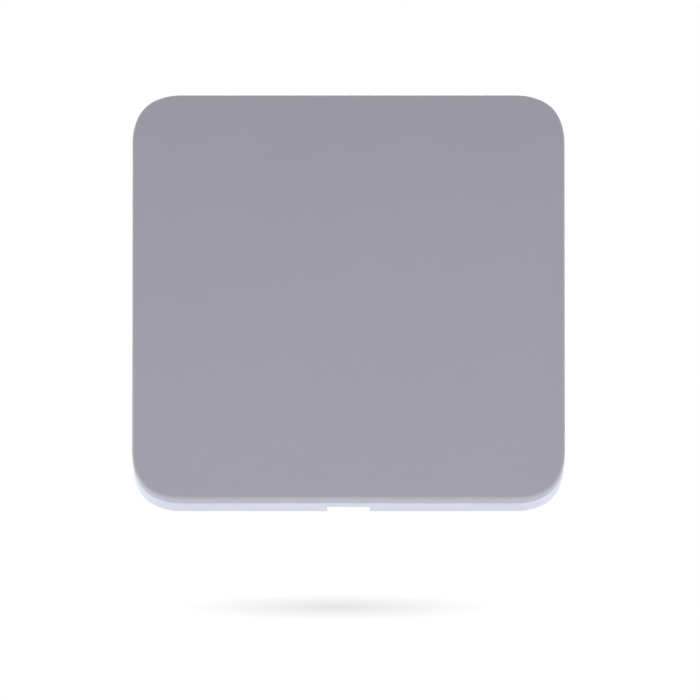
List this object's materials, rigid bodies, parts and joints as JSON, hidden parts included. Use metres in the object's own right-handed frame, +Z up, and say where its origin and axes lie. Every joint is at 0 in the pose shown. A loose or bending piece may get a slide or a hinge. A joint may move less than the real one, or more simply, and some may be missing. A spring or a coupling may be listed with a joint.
{
  "type": "wireless panic button",
  "caption": "Wall-mounted wireless panic button: full-face grey press plate hinged at its top edge on a white housing that hooks onto a screwed wall plate.",
  "frame": {"origin": "centre of the wall plate's rear face, on the wall", "axes": "+Z up, +Y into the wall (the press plate faces -Y), +X to the right seen from the front"},
  "size_m": [0.085, 0.0153, 0.0808],
  "materials": {
    "grey_shell": "fine moulded texture, matte",
    "white_shell": "smooth satin white moulding",
    "spring_steel": "bright drawn wire",
    "soft_pad": "dull soft rubber",
    "board_laminate": "green solder mask over glass laminate",
    "screw_steel": "zinc plated",
    "black_moulding": "black glass-filled moulding",
    "red_moulding": "red moulding",
    "sheet_steel": "stamped tinned sheet",
    "tinned_leads": "tin plated strip",
    "cell_steel": "nickel plated can",
    "chip_black": "moulded chip resin",
    "antenna_wire": "bare copper wire",
    "ferrite_grey": "ferrite and resin",
    "tantalum_yellow": "moulded resin",
    "led_resin": "clear resin",
    "ceramic_tan": "ceramic chip with tinned ends"
  },
  "bodies": {
    "wall_bracket": {"wall_plate": "white_shell", "latch_tongue": "white_shell"},
    "front_unit": {"housing": "white_shell", "return_spring_left": "spring_steel", "return_spring_right": "spring_steel", "stop_pads": "soft_pad", "circuit_board": "board_laminate", "board_screws": "screw_steel", "press_switch_body": "black_moulding", "press_switch_cover": "sheet_steel", "press_switch_terminals": "tinned_leads", "press_switch_dome": "sheet_steel", "tamper_switch_body": "black_moulding", "tamper_switch_cover": "sheet_steel", "coin_cell": "cell_steel", "battery_holder": "black_moulding", "battery_contact_positive": "tinned_leads", "battery_contact_negative": "tinned_leads", "radio_module_board": "board_laminate", "radio_shield_can": "sheet_steel", "radio_chip": "chip_black", "radio_crystal": "sheet_steel", "helical_antenna": "antenna_wire", "microcontroller": "chip_black", "clock_crystal": "sheet_steel", "power_inductor": "ferrite_grey", "storage_capacitor": "tantalum_yellow", "status_led": "led_resin", "programming_header": "black_moulding", "capacitors": "ceramic_tan", "resistors": "chip_black"},
    "press_plate": {"press_plate": "grey_shell"},
    "press_plunger": {"press_switch_plunger": "black_moulding"},
    "tamper_plunger": {"tamper_switch_plunger": "red_moulding"}
  },
  "joints": [
    {"name": "housing_swing", "type": "hinge", "parent": "wall_bracket", "child": "front_unit", "pos_m": [0, -0.005, 0.03745], "axis": [-1, 0, 0], "range_deg": [0, 20], "deforming": ["latch_tongue"]},
    {"name": "plate_press", "type": "hinge", "parent": "front_unit", "child": "press_plate", "pos_m": [0, -0.0119, 0.03515], "axis": [1, 0, 0], "range_deg": [0, 0.45], "stiffness_Nm_per_rad": 10.3, "springref_deg": -0.14, "deforming": ["return_spring_left", "return_spring_right", "press_switch_dome"]},
    {"name": "switch_click", "type": "slide", "parent": "front_unit", "child": "press_plunger", "axis": [0, 1, 0], "range_m": [0, 0.0003]},
    {"name": "tamper_release", "type": "slide", "parent": "front_unit", "child": "tamper_plunger", "axis": [0, 1, 0], "range_m": [0, 0.00025]}
  ],
  "couplings": [
    {"joint": "switch_click", "follows": "plate_press", "m_per_rad": 0.03515},
    {"joint": "tamper_release", "follows": "housing_swing", "m_per_rad": 0.0007161}
  ]
}
